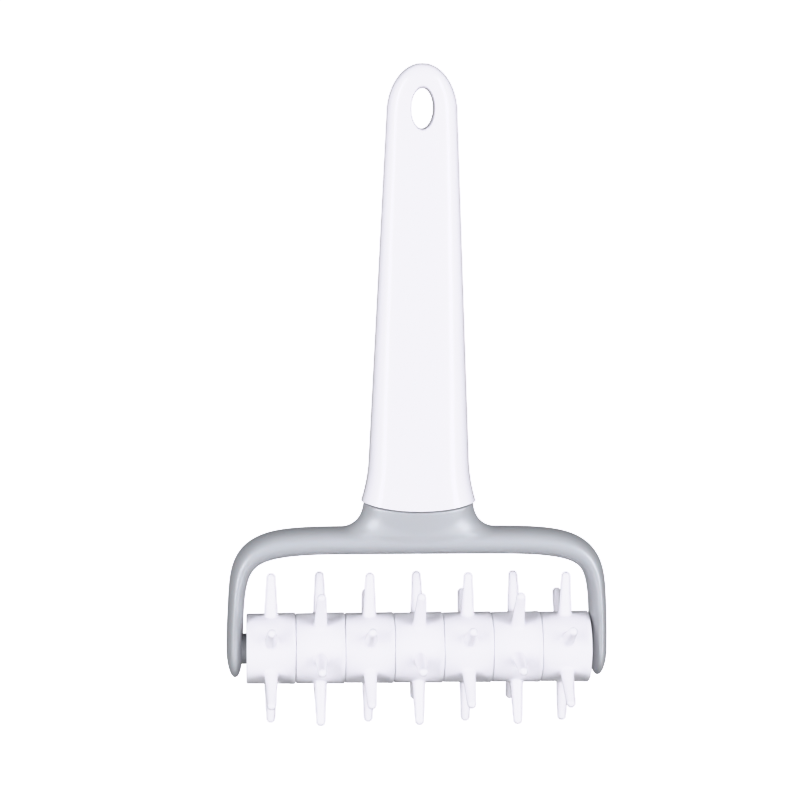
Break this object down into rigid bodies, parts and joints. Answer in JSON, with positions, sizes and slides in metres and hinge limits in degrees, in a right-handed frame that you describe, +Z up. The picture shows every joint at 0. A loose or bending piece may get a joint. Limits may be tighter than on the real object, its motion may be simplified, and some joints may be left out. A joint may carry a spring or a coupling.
{
  "type": "dough docker",
  "caption": "Pastry docker: a roller of spiked plastic rings turning in a forked yoke, on a flat tapered handle with an oval hang hole.",
  "frame": {"origin": "centre of the hang hole, in the middle of the handle's depth", "axes": "+X along the roller to the right of the pictured side, +Z up the handle towards its tip, -Y out of the pictured side"},
  "size_m": [0.1168, 0.0478, 0.2019],
  "materials": {
    "grey_plastic": "satin blue-grey moulded polypropylene",
    "white_handle": "satin white moulded plastic",
    "white_roller": "semi-gloss white moulded plastic"
  },
  "bodies": {
    "handle": {"yoke": "grey_plastic", "handle_sleeve": "white_handle"},
    "roller": {"roller_core": "white_roller", "end_cap_left": "white_roller", "end_cap_right": "white_roller", "spiked_ring_1": "white_roller", "spiked_ring_2": "white_roller", "spiked_ring_3": "white_roller", "spiked_ring_4": "white_roller", "spiked_ring_5": "white_roller", "spiked_ring_6": "white_roller", "spiked_ring_7": "white_roller"}
  },
  "joints": [
    {"name": "roller_spin", "type": "hinge", "parent": "handle", "child": "roller", "pos_m": [0, 0, -0.1645], "axis": [1, 0, 0], "continuous": true}
  ]
}
